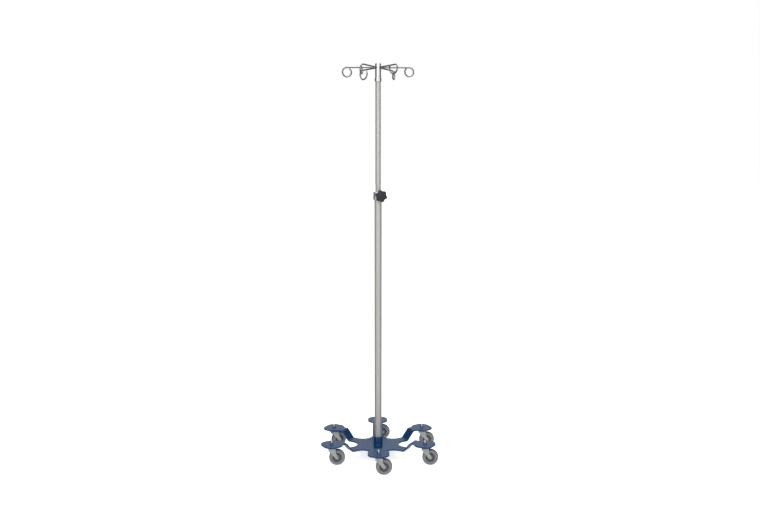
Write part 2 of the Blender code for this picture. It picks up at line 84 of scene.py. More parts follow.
def rounded_edges(obj, width, segments, angle=50):
    """Rounds the piece's hard edges and keeps its flats flat."""
    bevel = obj.modifiers.new("edge", "BEVEL")
    bevel.width = width
    bevel.segments = segments
    bevel.limit_method = "ANGLE"
    bevel.angle_limit = math.radians(angle)
    bevel.harden_normals = False
    normals = obj.modifiers.new("flats", "WEIGHTED_NORMAL")
    normals.keep_sharp = True
    obj.data.set_sharp_from_angle(angle=math.pi)


def skin(bm, rings, closed=False, caps=True):
    """Faces between rings of vertices; a ring of one vertex closes to a point."""
    pairs = list(zip(rings, rings[1:]))
    if closed:
        pairs.append((rings[-1], rings[0]))
    for first, second in pairs:
        count = max(len(first), len(second))
        for i in range(count):
            j = (i + 1) % count
            corners = [first[i % len(first)], first[j % len(first)]]
            corners += [second[j % len(second)], second[i % len(second)]]
            corners = list(dict.fromkeys(corners))
            if len(corners) > 2:
                bm.faces.new(corners)
    if caps and not closed:
        for end in (rings[0], rings[-1]):
            if len(end) > 2:
                bm.faces.new(end)


def loft(rings, closed=False):
    """A mesh between rings of points."""
    bm = bmesh.new()
    skin(bm, [[bm.verts.new(point) for point in ring] for ring in rings], closed)
    return bm


def ring(radius_at, height, count=SIDES):
    """A ring whose radius may change with the angle round it."""
    points = []
    for i in range(count):
        turn = 2 * math.pi * i / count
        radius = radius_at(turn)
        points.append((radius * math.cos(turn), radius * math.sin(turn), height))
    return points


def circle(radius, height, count=SIDES):
    """A round ring, or a single point where the radius is nothing."""
    if radius < TINY:
        return [(0.0, 0.0, height)]
    return ring(lambda turn: radius, height, count)


def circles(pairs, start=0.0, count=SIDES):
    """Round rings from pairs of radius and height in millimetres, above a start in metres."""
    return [circle(radius * MM, start + height * MM, count) for radius, height in pairs]


def arc(centre, radius, start, end, steps):
    """Points along an arc between two angles in degrees."""
    points = []
    for i in range(steps + 1):
        turn = math.radians(start + (end - start) * i / steps)
        points.append((centre[0] + radius * math.cos(turn), centre[1] + radius * math.sin(turn)))
    return points


EASE_SHARE = 0.49  # of a profile's side, that one rounded corner may take
EASE_STEP = 18  # degrees that one step of a rounded corner turns at most


def eased(profile, closed=False):
    """Rounds each corner (radius, height, rounding); a plain pair stays sharp."""
    count = len(profile)
    out = []
    for i, corner in enumerate(profile):
        here = Vector(corner[:2])
        size = corner[2] if len(corner) > 2 else 0.0
        if size <= 0 or (not closed and i in (0, count - 1)):
            out.append(tuple(here))
            continue
        before = Vector(profile[i - 1][:2]) - here
        after = Vector(profile[(i + 1) % count][:2]) - here
        between = before.angle(after)
        room = min(before.length, after.length) * EASE_SHARE
        reach = min(size / math.tan(between / 2), room)
        start, end = here + before.normalized() * reach, here + after.normalized() * reach
        steps = max(2, math.ceil(math.degrees(math.pi - between) / EASE_STEP))
        for k in range(steps + 1):
            t = k / steps
            out.append(tuple(start * (1 - t) ** 2 + here * 2 * t * (1 - t) + end * t**2))
    return out


def turned(profile, closed=False, count=SIDES):
    """A profile of radius and height turned round the Z axis."""
    rings = [circle(radius, height, count) for radius, height in eased(profile, closed)]
    return loft(rings, closed)


CONE_STEPS = 4  # rings of a turned-off corner, beyond its first
CONE_START = 0.98  # the cone's least radius, of the distance to a flat
CONE_DROP = 0.62  # the cone's height, of the corner's reach past the flats


def hex_reach(across_flats, turn):
    """Distance from the axis to a hexagon's side at an angle."""
    return across_flats / 2 / math.cos(turn % (math.pi / 3) - math.pi / 6)


def hex_rings(flats, low, high, chamfer_low, chamfer_high):
    """Rings of a hexagonal prism with its corners turned off by a cone at either end."""
    rings = []
    corner = flats / math.sqrt(3)
    inner = flats / 2 * CONE_START
    drop = (corner - flats / 2) * CONE_DROP
    shares = [k / CONE_STEPS for k in range(CONE_STEPS + 1)]
    for end, toward, chamfer in ((low, 1, chamfer_low), (high, -1, chamfer_high)):
        sizes = [(corner, end)]
        if chamfer:
            sizes = [(inner + (corner - inner) * t, end + toward * drop * t) for t in shares]
        part = [
            ring(lambda turn, cone=cone: min(hex_reach(flats, turn), cone), height)
            for cone, height in sizes
        ]
        rings += part if toward > 0 else part[::-1]
    return rings


ROD_SIDES, DOME_STEPS = 24, 7


def sweep(points, radius):
    """A round rod along a path, with its far end domed."""
    bm = bmesh.new()
    rings = []
    normal = None
    last = len(points) - 1
    lifts = [math.pi / 2 * k / DOME_STEPS for k in range(DOME_STEPS)]
    for i, point in enumerate(points):
        ahead = points[min(i + 1, last)] - points[max(i - 1, 0)]
        ahead.normalize()
        if normal is None:
            normal = ahead.orthogonal().normalized()
        normal = (normal - ahead * normal.dot(ahead)).normalized()
        side = ahead.cross(normal)
        sections = [(point, radius)]
        if i == last:
            sections = [
                (point + ahead * radius * math.sin(lift), radius * math.cos(lift))
                for lift in lifts
            ]
        for centre, size in sections:
            made = []
            for j in range(ROD_SIDES):
                turn = 2 * math.pi * j / ROD_SIDES
                place = centre + (normal * math.cos(turn) + side * math.sin(turn)) * size
                made.append(bm.verts.new(place))
            rings.append(made)
    tip = points[-1] + (points[-1] - points[-2]).normalized() * radius
    rings.append([bm.verts.new(tip)])
    skin(bm, rings)
    return bm


def axis_matrix(position, axis):
    """A frame at a position with its local Z along a level axis."""
    z = Vector(axis).normalized()
    x = Vector((0, 0, 1)).cross(z).normalized()
    turn = Matrix((x, z.cross(x), z)).transposed().to_4x4()
    return Matrix.Translation(Vector(position)) @ turn


# Materials ----------------------------------------------------------------------------------


MIX_SHARE, MIX_FIRST, MIX_SECOND = 0, 6, 7  # a colour Mix node's inputs
MIX_RESULT = 2  # and its output


def add_node(tree, kind, inputs=None, **settings):
    """A node with its settings, and its inputs linked or given a value."""
    node = tree.nodes.new(kind)
    for key, value in settings.items():
        setattr(node, key, value)
    for socket, value in (inputs or {}).items():
        if isinstance(value, bpy.types.NodeSocket):
            tree.links.new(value, node.inputs[socket])
        else:
            node.inputs[socket].default_value = value
    return node


def opaque(value):
    """A colour or a grey as four channels."""
    return (*value, 1) if isinstance(value, tuple) else (value, value, value, 1)


def mix_of(tree, share, first, second, blend="MIX"):
    """Two colours mixed; each is a socket or a plain colour."""
    inputs = {MIX_SHARE: share}
    for socket, value in ((MIX_FIRST, first), (MIX_SECOND, second)):
        inputs[socket] = opaque(value) if isinstance(value, tuple) else value
    node = add_node(tree, "ShaderNodeMix", inputs, data_type="RGBA", blend_type=blend)
    return node.outputs[MIX_RESULT]


def ramp_of(tree, source, stops):
    """Colours or greys against a 0 to 1 input."""
    node = add_node(tree, "ShaderNodeValToRGB", {"Fac": source})
    elements = node.color_ramp.elements
    while len(elements) < len(stops):
        elements.new(0.5)
    for element, (position, value) in zip(elements, stops):
        element.position = position
        element.color = opaque(value)
    return node.outputs["Color"]


class Look:
    """A Principled material with a few procedural layers."""

    def __init__(self, name, colour, roughness, metallic=0.0, **sockets):
        self.material = bpy.data.materials.new(name)
        self.material.use_nodes = True
        self.tree = self.material.node_tree
        self.shader = self.tree.nodes["Principled BSDF"]
        self.shader.inputs["Base Color"].default_value = (*colour, 1)
        self.shader.inputs["Roughness"].default_value = roughness
        self.shader.inputs["Metallic"].default_value = metallic
        for socket, value in sockets.items():
            self.shader.inputs[socket.replace("_", " ")].default_value = value
        self.place = self.add("ShaderNodeTexCoord").outputs["Object"]
        self.relief = None

    def add(self, kind, inputs=None, **settings):
        return add_node(self.tree, kind, inputs, **settings)

    def link(self, source, target):
        self.tree.links.new(source, target)

    def noise(self, scale, detail=4.0, stretch=(1, 1, 1), rough=0.55):
        """A noise whose scale can differ along each axis."""
        mapping = self.add("ShaderNodeMapping", {"Scale": stretch, "Vector": self.place})
        inputs = {"Scale": scale, "Detail": detail, "Roughness": rough}
        inputs["Vector"] = mapping.outputs["Vector"]
        return self.add("ShaderNodeTexNoise", inputs).outputs["Fac"]

    def ramp(self, source, *stops):
        return ramp_of(self.tree, source, stops)

    def mix(self, share, first, second, blend="MIX"):
        return mix_of(self.tree, share, first, second, blend)

    def colour(self, source):
        self.link(source, self.shader.inputs["Base Color"])

    def roughness(self, source):
        self.link(source, self.shader.inputs["Roughness"])

    def bump(self, source, distance, strength):
        """Adds a layer of relief, over the last one if there is one."""
        inputs = {"Distance": distance, "Strength": strength, "Height": source}
        if self.relief is not None:
            inputs["Normal"] = self.relief
        self.relief = self.add("ShaderNodeBump", inputs).outputs["Normal"]
        self.link(self.relief, self.shader.inputs["Normal"])


def shades(tint, dark, pale):
    """A tint made darker and paler by two factors."""
    return [tuple(v * share for v in tint) for share in (dark, pale)]


def blue_paint_look():
    """Navy gloss powder coat: orange peel, faint cloudiness, pale scuffs, dull rubbed patches."""
    look = Look("navy_paint", (0.002, 0.042, 0.13), 0.27, metallic=0.3)
    cloud = look.noise(9, 3)
    base = look.ramp(cloud, (0.3, (0.001, 0.041, 0.126)), (0.7, (0.002, 0.051, 0.152)))
    scuff = look.ramp(look.noise(34, 8, rough=0.72), (0.66, 0.0), (0.78, 0.3))
    look.colour(look.mix(scuff, base, (0.02, 0.075, 0.17)))
    rub = look.noise(28, 6, rough=0.65)
    look.roughness(look.ramp(rub, (0.35, 0.2), (0.62, 0.28), (0.78, 0.42)))
    look.bump(look.noise(420, 2), 0.00012, 0.35)
    look.bump(look.noise(55, 2), 0.0004, 0.12)
    return look.material


def tube_look(name, tint, roughness):
    """Drawn stainless tube: fine grain and soft streaks along the mast, a blotchy gloss."""
    look = Look(name, tint, roughness, metallic=0.8)
    grain = look.noise(900, 3, stretch=(1, 1, 0.004), rough=0.6)
    streak = look.noise(160, 2, stretch=(1, 1, 0.01))
    blotch = look.noise(14, 4, stretch=(1, 1, 0.3))
    dark, pale = shades(tint, 0.94, 1.05)
    base = look.ramp(grain, (0.3, dark), (0.7, pale))
    shade = look.ramp(streak, (0.3, (0.93, 0.93, 0.925)), (0.7, (1, 1, 1)))
    look.colour(look.mix(1.0, base, shade, "MULTIPLY"))
    look.roughness(look.ramp(blotch, (0.3, roughness * 0.85), (0.75, roughness * 1.25)))
    look.bump(grain, 0.00002, 0.12)
    return look.material


def plate_look(name, tint, roughness):
    """Bright plating with faint smudges and polishing waves."""
    look = Look(name, tint, roughness, metallic=1.0)
    smudge = look.noise(60, 5, rough=0.6)
    dark, pale = shades(tint, 0.92, 1.05)
    look.colour(look.ramp(smudge, (0.3, dark), (0.6, pale)))
    stops = ((0.35, roughness * 0.7), (0.6, roughness * 1.3), (0.8, roughness * 2.4))
    look.roughness(look.ramp(smudge, *stops))
    look.bump(look.noise(240, 2), 0.00003, 0.2)
    return look.material


def zinc_look():
    """Passivated zinc plate: crystalline mottling and a faint green-grey cast."""
    look = Look("bright_zinc", (0.52, 0.54, 0.49), 0.36, metallic=0.85)
    inputs = {"Scale": 260, "Vector": look.place}
    spangle = look.add("ShaderNodeTexVoronoi", inputs, feature="F1").outputs["Color"]
    cloud = look.noise(45, 5)
    flakes = look.ramp(spangle, (0.2, (0.43, 0.452, 0.42)), (0.8, (0.56, 0.582, 0.538)))
    stain = look.ramp(cloud, (0.35, (0.9, 0.9, 0.86)), (0.65, (1, 1, 1)))
    look.colour(look.mix(1.0, flakes, stain, "MULTIPLY"))
    look.roughness(look.ramp(cloud, (0.3, 0.3), (0.7, 0.46)))
    look.bump(look.noise(700, 3), 0.00005, 0.3)
    return look.material


def tyre_look(name, tint):
    """Grey non-marking rubber: dusty and finely pitted."""
    look = Look(name, tint, 0.72)
    dark, pale = shades(tint, 0.86, 1.16)
    dust = look.noise(70, 6, rough=0.65)
    speck = look.noise(620, 3)
    base = look.ramp(dust, (0.3, dark), (0.72, pale))
    fine = look.ramp(speck, (0.35, (0.88, 0.88, 0.88)), (0.6, (1, 1, 1)))
    look.colour(look.mix(1.0, base, fine, "MULTIPLY"))
    look.roughness(look.ramp(dust, (0.3, 0.6), (0.7, 0.82)))
    look.bump(speck, 0.00012, 0.35)
    return look.material


def core_look(name, tint):
    """Moulded wheel plastic with a fine spark texture."""
    look = Look(name, tint, 0.48)
    cloud = look.noise(60, 4)
    dark, pale = shades(tint, 0.86, 1.18)
    look.colour(look.ramp(cloud, (0.3, dark), (0.7, pale)))
    look.roughness(look.ramp(look.noise(300, 4), (0.3, 0.4), (0.7, 0.58)))
    look.bump(look.noise(1100, 2), 0.00006, 0.3)
    return look.material


def knob_look():
    """Glass-filled nylon knob: charcoal, finely grained, with an uneven gloss."""
    look = Look("knob_charcoal", (0.018, 0.017, 0.021), 0.42, Specular_IOR_Level=0.36)
    cloud = look.noise(90, 5)
    look.colour(look.ramp(cloud, (0.3, (0.013, 0.012, 0.016)), (0.7, (0.026, 0.024, 0.03))))
    look.roughness(look.ramp(look.noise(240, 4), (0.3, 0.34), (0.7, 0.52)))
    look.bump(look.noise(1400, 2), 0.00008, 0.4)
    return look.material


def nylon_look():
    """Natural nylon of the guide pieces."""
    look = Look("natural_nylon", (0.72, 0.7, 0.64), 0.45)
    cloud = look.noise(80, 4)
    look.colour(look.ramp(cloud, (0.3, (0.66, 0.64, 0.58)), (0.7, (0.77, 0.75, 0.69))))
    look.roughness(look.ramp(cloud, (0.3, 0.38), (0.7, 0.55)))
    look.bump(look.noise(500, 3), 0.00005, 0.3)
    return look.material


def floor_look():
    """Pale matt studio floor that glows, with a barely visible grain, clear from below."""
    sockets = {"Specular_IOR_Level": 0.0, "Emission_Strength": 0.7}
    look = Look("studio_floor", (0.9, 0.9, 0.9), 0.85, Emission_Color=(1, 1, 1, 1), **sockets)
    grain = look.noise(90, 5)
    look.colour(look.ramp(grain, (0.3, 0.895), (0.7, 0.91)))
    look.bump(grain, 0.0002, 0.1)
    below = look.add("ShaderNodeNewGeometry").outputs["Backfacing"]
    clear = look.add("ShaderNodeBsdfTransparent").outputs[0]
    both = look.add("ShaderNodeMixShader", {0: below, 1: look.shader.outputs[0], 2: clear})
    look.link(both.outputs[0], look.tree.nodes["Material Output"].inputs["Surface"])
    return look.material


PAINT = blue_paint_look()
TUBE = tube_look("satin_tube", (0.56, 0.543, 0.51), 0.46)
CHROME = plate_look("bright_chrome", (0.66, 0.66, 0.65), 0.1)
COLLAR_PLATE = plate_look("collar_plating", (0.86, 0.84, 0.79), 0.3)
# the hooks' chrome is tinted far darker than the hub's: painted shade standing in for the dark reflections along
# the rods
ROD_PLATE_SHADED = plate_look("rod_plating_shaded", (0.27, 0.262, 0.276), 0.09)
NUT_PLATE = plate_look("nut_plating", (0.5, 0.485, 0.49), 0.18)
ZINC = zinc_look()
RUBBER = tyre_look("grey_rubber", (0.18, 0.175, 0.192))
# darker tread rubber: partly worn rubber, partly painted shade where the rounded crown turns away from the light
TREAD_WEAR_AND_SHADE = tyre_look("rolled_rubber_and_shade", (0.105, 0.102, 0.112))
# dark wheel plastic; on the sunk web of each wheel it is painted shade of the recess between boss and rim
CORE_AND_WEB_SHADE = core_look("wheel_dark_web_shade", (0.045, 0.045, 0.05))
BOSS = core_look("wheel_grey", (0.098, 0.107, 0.107))
KNOB = knob_look()
NYLON = nylon_look()
BY_SLOT = {
    "blue_paint": PAINT,
    "tube_steel": TUBE,
    "chrome": CHROME,
    "zinc": ZINC,
    "tyre_rubber": RUBBER,
    "wheel_plastic": CORE_AND_WEB_SHADE,
    "knob_plastic": KNOB,
    "nylon": NYLON,
}


def dress_cad_nodes():
    """Every CAD node takes its slot's finish; those that stay are inside or behind others."""
    for node, obj in frame["nodes"].items():
        look = BY_SLOT[SLOT_OF[node]]
        if not obj.material_slots:
            obj.data.materials.append(look)
        for slot in obj.material_slots:
            slot.material = look


# Base plate ---------------------------------------------------------------------------------

PLATE_THICK = 6.4 * MM
PAD_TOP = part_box("base_plate")[1].z
LOW_TOP = 56 * MM
STEM_RADIUS = 250 * MM
LOW_BEND, HIGH_BEND, BEND_INSIDE = 151.5 * MM, 185.5 * MM, 11 * MM
LEG_HALF = 25 * MM
NOTCH_TIP = 98 * MM
PAD_LONG, PAD_WIDE, PAD_CORNER = 44.5 * MM, 49 * MM, 36 * MM
NECK = 14 * MM
BEND_STEPS = 12


def leg_outline():
    """Half-width of a leg at each radius: the notch between legs, the neck, the lobed pad."""
    reach = (NOTCH_TIP - LEG_HALF) * 2
    notch = (reach * math.cos(math.radians(30)), reach * math.sin(math.radians(30)))
    flat = arc(notch, reach - NOTCH_TIP, 210, 270, 20)
    corner = (STEM_RADIUS - PAD_LONG + PAD_CORNER, PAD_WIDE - PAD_CORNER)
    rise = LEG_HALF + NECK - corner[1]
    run = math.sqrt((PAD_CORNER + NECK) ** 2 - rise**2)
    meet = math.degrees(math.atan2(-rise, run))
    fillet = arc((corner[0] - run, LEG_HALF + NECK), NECK, -90, meet, 10)
    inner = arc(corner, PAD_CORNER, meet + 180, 90, 16)[1:]
    outer = arc((STEM_RADIUS + PAD_LONG - PAD_CORNER, corner[1]), PAD_CORNER, 90, 0, 24)
    return flat, fillet + inner + outer


def bent_rows():
    """Rows across a leg: (radius, height, slope, half-width) of its mid-plane."""
    flat, pad = leg_outline()
    low, high = LOW_TOP - PLATE_THICK / 2, PAD_TOP - PLATE_THICK / 2
    slope = math.atan2(high - low, HIGH_BEND - LOW_BEND)
    setback = BEND_INSIDE * math.tan(slope / 2)
    turns = [slope * i / BEND_STEPS for i in range(BEND_STEPS + 1)]
    rows = [(u, low, 0.0, w) for u, w in flat]
    for turn in turns:
        u = LOW_BEND - setback + BEND_INSIDE * math.sin(turn)
        rows.append((u, low + BEND_INSIDE * (1 - math.cos(turn)), turn, LEG_HALF))
    for turn in reversed(turns):
        u = HIGH_BEND + setback - BEND_INSIDE * math.sin(turn)
        rows.append((u, high - BEND_INSIDE * (1 - math.cos(turn)), turn, LEG_HALF))
    return rows + [(u, high, 0.0, w) for u, w in pad]


def add_leg(bm, rows, turn):
    """One sixth of the plate, from the mast's axis to the end of its pad."""
    half = PLATE_THICK / 2
    sections = []
    for u, z, slope, w in rows:
        lift = Vector((-math.sin(slope) * half, 0, math.cos(slope) * half))
        middle, side = Vector((u, 0, z)), Vector((0, w, 0))
        corners = [middle + lift - side, middle + lift + side]
        corners += [middle - lift + side, middle - lift - side]
        sections.append([bm.verts.new(turn @ corner) for corner in corners])
    first = sections[0]
    bm.faces.new((bm.verts.new((0, 0, LOW_TOP)), first[0], first[1]))
    bm.faces.new((bm.verts.new((0, 0, LOW_TOP - PLATE_THICK)), first[2], first[3]))
    skin(bm, sections, caps=False)
    bm.faces.new(sections[-1])


def make_base_plate():
    """One bent plate: six equal legs joined at the mast's axis."""
    bm = bmesh.new()
    rows = bent_rows()
    for angle in range(-90, 270, 60):
        add_leg(bm, rows, Matrix.Rotation(math.radians(angle), 4, "Z"))
    bmesh.ops.remove_doubles(bm, verts=bm.verts, dist=0.02 * MM)
    plate = stand_in("plate_painted", bm, PAINT, "base_plate")
    rounded_edges(plate, 1.3 * MM, 4)


SOCKET_BORE, WELD_BEAD = 17.25 * MM, 2.2 * MM
WASHER_BORE = 6.2 * MM
BOLT_FLATS, BOLT_HEAD_TOP = 19 * MM, 46.5 * MM
BOLT_END = ((0, 0.5), (5.2, 0.5), (5.8, 0), (8.6, 0))


def make_foot():
    """Painted socket with its weld bead, and the hex bolt and washer under the plate."""
    low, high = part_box("pole_socket")
    base, top, radius = low.z, high.z, high.x
    wall = [
        (SOCKET_BORE, base),
        (radius + WELD_BEAD, base - 0.2 * MM, 0.4 * MM),
        (radius + WELD_BEAD * 0.75, base + 1.4 * MM, 1.2 * MM),
        (radius, base + WELD_BEAD, 1.6 * MM),
        (radius, top, 1.6 * MM),
        (SOCKET_BORE, top, 0.8 * MM),
    ]
    stand_in("socket_painted", turned(wall, True), PAINT, "pole_socket", sharp=50)
    low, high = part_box("foot_washer")
    washer = [
        (WASHER_BORE, low.z),
        (high.x, low.z, 0.5 * MM),
        (high.x, high.z, 0.5 * MM),
        (WASHER_BORE, high.z),
    ]
    stand_in("foot_washer_plated", turned(washer, True), ZINC, "foot_washer")
    low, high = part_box("foot_bolt")
    rings = circles(BOLT_END, low.z)
    rings += hex_rings(BOLT_FLATS, low.z + 0.1 * MM, BOLT_HEAD_TOP, True, False)
    rings += [circle(6 * MM, BOLT_HEAD_TOP)] + circles(((6, -1), (5, 0), (0, 0)), high.z)
    stand_in("foot_bolt_plated", loft(rings), ZINC, "foot_bolt")


# Castors ------------------------------------------------------------------------------------


NUT_FLATS, NUT_DOME = 13.5 * MM, 6 * MM
NUT_WASHER = ((4.2, 0), (7.7, 0), (7.9, 0.2), (7.9, 0.9), (7.7, 1.1), (6.48, 1.1))
NUT_NECK = ((6.25, 8), (6, 8.5))


def make_cap_nut(name):
    """Domed nut with turned-off corners, standing on a thin washer."""
    node = "cap_nut_" + name
    low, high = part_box(node)
    centre = (low + high) / 2
    height = high.z - low.z
    dome = arc((0, height - NUT_DOME), NUT_DOME, 0, 90, 14)[:-1]
    rings = circles(NUT_WASHER)
    rings += hex_rings(NUT_FLATS, 1.2 * MM, 7.6 * MM, True, True)
    rings += circles(NUT_NECK)
    rings += [circle(r, z) for r, z in dome] + [circle(0, height)]
    place = Matrix.Translation((centre.x, centre.y, low.z))
    stand_in("dome_nut_" + name, loft(rings), NUT_PLATE, node, place, sharp=30)


SWIVEL_RADIUS, KINGPIN, STUD = 18 * MM, 8 * MM, 4 * MM


def make_swivel(name):
    """Pressed swivel head: upper cup, dust skirt over the ball race, kingpin rivet below."""
    node = "swivel_stem_" + name
    low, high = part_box(node)
    centre = (low + high) / 2
    fork_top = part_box("fork_" + name)[1].z
    under_fork = fork_top - 3 * MM
    race = fork_top + 0.3 * MM
    seat = PAD_TOP - PLATE_THICK - 0.1 * MM
    outer = SWIVEL_RADIUS
    profile = [
        (0, low.z),
        (KINGPIN - 1.5 * MM, low.z, 0.8 * MM),
        (KINGPIN, low.z + 1.3 * MM, 0.8 * MM),
        (KINGPIN, under_fork),
        (STUD, under_fork),
        (STUD, race),
        (outer - 3.5 * MM, race),
        (outer - 2.5 * MM, race + 0.8 * MM, 0.4 * MM),
        (outer - 0.6 * MM, race + 0.8 * MM, 0.4 * MM),
        (outer, race + 1.6 * MM, 0.6 * MM),
        (outer, race + 4.6 * MM, 1.2 * MM),
        (outer - 2.6 * MM, race + 6.4 * MM, 1.2 * MM),
        (outer - 3.4 * MM, seat - 1.2 * MM, 0.8 * MM),
        (outer - 1.4 * MM, seat - 0.8 * MM, 0.4 * MM),
        (outer - 1.4 * MM, seat),
        (STUD, seat),
        (STUD, high.z),
        (0, high.z),
    ]
    place = Matrix.Translation((centre.x, centre.y, 0))
    stand_in("swivel_head_" + name, turned(profile), ZINC, node, place)


FORK_HALF = 16.9 * MM
FORK_SHEET = 2.6 * MM
FORK_BEND = 5 * MM
TRAIL = 25 * MM
AXLE_HEIGHT = 37.5 * MM
HEEL = 6.9 * MM
HEEL_REAR, HEEL_FRONT = (-0.839, -0.545), (0.809, 0.588)  # heel radii to where the edges leave
EDGE_REAR, EDGE_FRONT = (-16 * MM, 73 * MM), (19 * MM, 60 * MM)  # where the edges stop leaning
HEEL_START, HEEL_STEP = 17.5, 9.5  # degrees up from the heel's lowest point
HEEL_STEPS, LEG_STEPS, FORK_STEPS = 8, 22, 8


def leaning(foot, end, height):
    """Place of a straight edge at a height, and no further than its end."""
    share = min(1.0, (height - foot[1]) / (end[1] - foot[1]))
    return foot[0] + (end[0] - foot[0]) * share


def fork_edges(height):
    """Rear and front edge of a fork leg at a height."""
    drop = height - AXLE_HEIGHT
    heel = math.sqrt(HEEL**2 - min(drop, 0) ** 2)
    rear, front = ((TRAIL + HEEL * x, AXLE_HEIGHT + HEEL * z) for x, z in (HEEL_REAR, HEEL_FRONT))
    left, right = TRAIL - heel, TRAIL + heel
    if height > rear[1]:
        left = leaning(rear, EDGE_REAR, height)
    if height > front[1]:
        right = leaning(front, EDGE_FRONT, height)
    elif drop >= 0:
        right = TRAIL + math.sqrt(HEEL**2 - drop**2)
    return left, right


def fork_rows(top):
    """Rows across the bent sheet, heel to heel: edges, across, height, turn of its normal."""
    first = AXLE_HEIGHT + 1.2 * MM
    rise = top - FORK_BEND - first
    swings = [math.radians(HEEL_START + HEEL_STEP * k) for k in range(HEEL_STEPS)]
    heights = [AXLE_HEIGHT - HEEL * math.cos(swing) for swing in swings]
    heights += [first + rise * k / LEG_STEPS for k in range(LEG_STEPS + 1)]
    rows = [(fork_edges(height), FORK_HALF, height, 0.0) for height in heights]
    for k in range(1, FORK_STEPS + 1):
        turn = math.pi / 2 * k / FORK_STEPS
        across = FORK_HALF - FORK_BEND * (1 - math.cos(turn))
        height = top - FORK_BEND * (1 - math.sin(turn))
        pinch = 1.5 * MM * k / FORK_STEPS
        left, right = fork_edges(height)
        rows.append(((left + pinch, right - pinch), across, height, turn))
    edges = rows[-1][0]
    crown = [(edges, across * FORK_HALF, top, math.pi / 2) for across in (0.3, -0.3)]
    other = [(ends, -across, height, math.pi - turn) for ends, across, height, turn in rows[::-1]]
    return rows + crown + other


def fork_bmesh(top):
    """The sheet through those rows, its thickness laid inwards from them."""
    bm = bmesh.new()
    sections = []
    for (left, right), across, height, turn in fork_rows(top):
        outward = Vector((0, math.cos(turn), math.sin(turn)))
        outer = Vector((0, across, height))
        inner = outer - outward * FORK_SHEET
        corners = []
        for x, place in ((left, outer), (right, outer), (right, inner), (left, inner)):
            corners.append(bm.verts.new((x, place.y, place.z)))
        sections.append(corners)
    skin(bm, sections)
    return bm


def castor_frame(name):
    """Frame of a castor at rest: origin on the floor under its stud, X towards the wheel."""
    stem = JOINTS["swivel_" + name]["pos_m"]
    spin = JOINTS["spin_" + name]["pos_m"]
    yaw = math.atan2(spin[1] - stem[1], spin[0] - stem[0])
    return Matrix.Translation((stem[0], stem[1], 0)) @ Matrix.Rotation(yaw, 4, "Z")


def wheel_frame(name):
    """Frame of a wheel at rest: origin at its centre, Z along the axle."""
    axle = Matrix.Translation((TRAIL, 0, AXLE_HEIGHT)) @ Matrix.Rotation(math.pi / 2, 4, "X")
    return castor_frame(name) @ axle


def make_fork(name):
    """Bent-sheet fork with its cut edges broken."""
    node = "fork_" + name
    bm = fork_bmesh(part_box(node)[1].z)
    fork = stand_in("fork_plated_" + name, bm, ZINC, node, castor_frame(name), sharp=60)
    rounded_edges(fork, 0.7 * MM, 3, 60)


AXLE_FLATS = 10 * MM
AXLE_TAIL = ((0, -2.9), (2.4, -2.9), (2.7, -2.6), (2.7, -2.2), (4.6, -2.2))
AXLE_WASHER = ((5.9, -0.6), (5.9, 0), (3.2, 0))
AXLE_HEAD = ((3.2, 0), (6, 0), (6, 0.5), (5.7, 0.7), (5.3, 1.5), (4.3, 2.2), (2.6, 2.45), (0, 2.6))


def make_axle(name):
    """Axle bolt: a domed head one side, a hexagonal lock nut the other."""
    side = FORK_HALF + 0.05 * MM
    rings = circles(AXLE_TAIL, -side)
    rings += hex_rings(AXLE_FLATS, -side - 2.1 * MM, -side - 0.6 * MM, True, False)
    rings += circles(AXLE_WASHER, -side) + circles(AXLE_HEAD, side)
    bolt = loft(rings)
    stand_in("axle_bolt_" + name, bolt, ZINC, "axle_" + name, wheel_frame(name), sharp=30)


BOSS_RADIUS, WEB_RADIUS, TREAD_RADIUS = 14 * MM, 18.5 * MM, 34.8 * MM


def second_finish(obj, place, look, covers):
    """Another finish on the faces whose distance from the axle passes a test."""
    obj.data.materials.append(look)
    back = place.inverted()
    for face in obj.data.polygons:
        if covers((back @ face.center).xy.length):
            face.material_index = 1


def mirrored(side):
    """A profile's lower half followed by its mirror image."""
    return side + [(p[0], -p[1], *p[2:]) for p in reversed(side)]


def wheel_core_profile():
    """Section of the wheel centre: boss, sunk web and rim."""
    side = [
        (3.6 * MM, -12.7 * MM),
        (6.4 * MM, -12.7 * MM, 0.3 * MM),
        (6.9 * MM, -12.1 * MM, 0.3 * MM),
        (12.6 * MM, -12.1 * MM, 0.8 * MM),
        (13.7 * MM, -10.6 * MM, 0.8 * MM),
        (14.3 * MM, -6.2 * MM, 0.8 * MM),
        (17.9 * MM, -6.2 * MM, 1 * MM),
        (19.2 * MM, -9.6 * MM, 0.6 * MM),
        (21.9 * MM, -10.2 * MM, 0.5 * MM),
    ]
    return mirrored(side)


def tyre_profile():
    """Section of the tyre: bead, hollow sidewall, raised ring, shoulder, mould line."""
    side = [
        (22 * MM, -11.2 * MM, 0.5 * MM),
        (23.4 * MM, -12 * MM, 0.5 * MM),
        (25.2 * MM, -12 * MM, 0.5 * MM),
        (26.2 * MM, -11.1 * MM, 0.5 * MM),
        (31.2 * MM, -11.1 * MM, 0.6 * MM),
        (32.2 * MM, -11.7 * MM, 0.5 * MM),
        (33.6 * MM, -11.2 * MM, 1.2 * MM),
        (36 * MM, -9 * MM, 2.2 * MM),
        (37.2 * MM, -5.5 * MM, 3 * MM),
        (37.42 * MM, -0.5 * MM),
        (37.5 * MM, -0.25 * MM),
    ]
    return mirrored(side)


